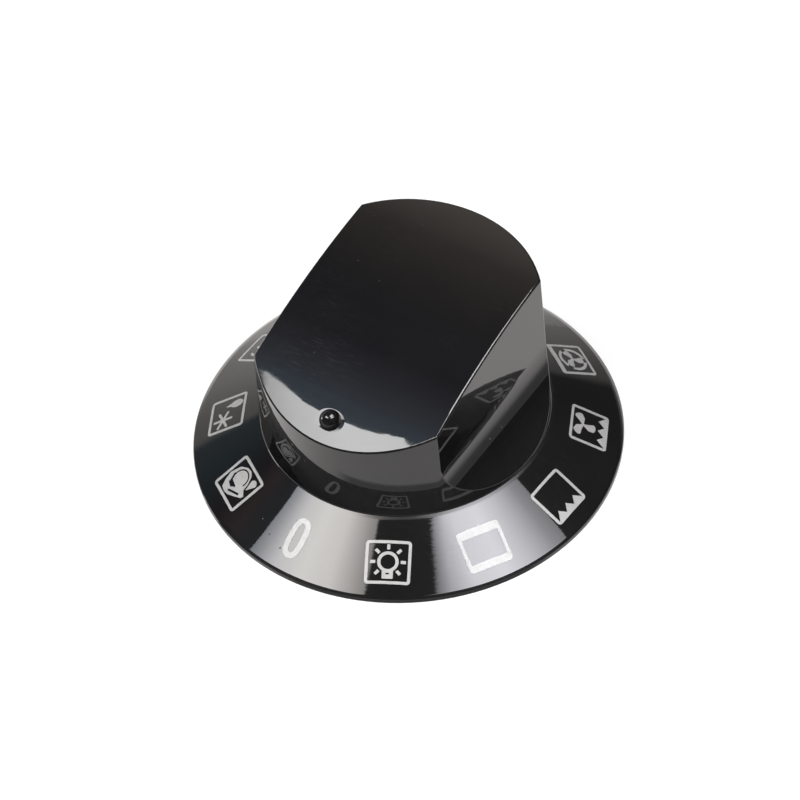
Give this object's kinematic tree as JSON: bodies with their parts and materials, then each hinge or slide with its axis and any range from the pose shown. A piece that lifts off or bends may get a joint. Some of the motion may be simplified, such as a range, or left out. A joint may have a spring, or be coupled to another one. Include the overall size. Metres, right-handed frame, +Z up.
{
  "type": "oven control knob",
  "caption": "Skirted oven control knob: a wedge-topped grip with finger flats and a pointer pip on a conical dial skirt, hollow below, with a D-shaft socket and spring clip.",
  "frame": {"origin": "centre of the underside of the skirt's rim, on the shaft axis", "axes": "+Z up the control shaft's axis to the top of the grip; the pointer pip is towards -Y and the finger flats face -X and +X"},
  "size_m": [0.062, 0.062, 0.0277],
  "materials": {
    "black_plastic": "polished moulding",
    "spring_steel": "cold-rolled strip",
    "white_print": "pad-printed ink"
  },
  "bodies": {
    "root": {"knob_moulding": "black_plastic", "shaft_spring_clip": "spring_steel"}
  },
  "joints": []
}
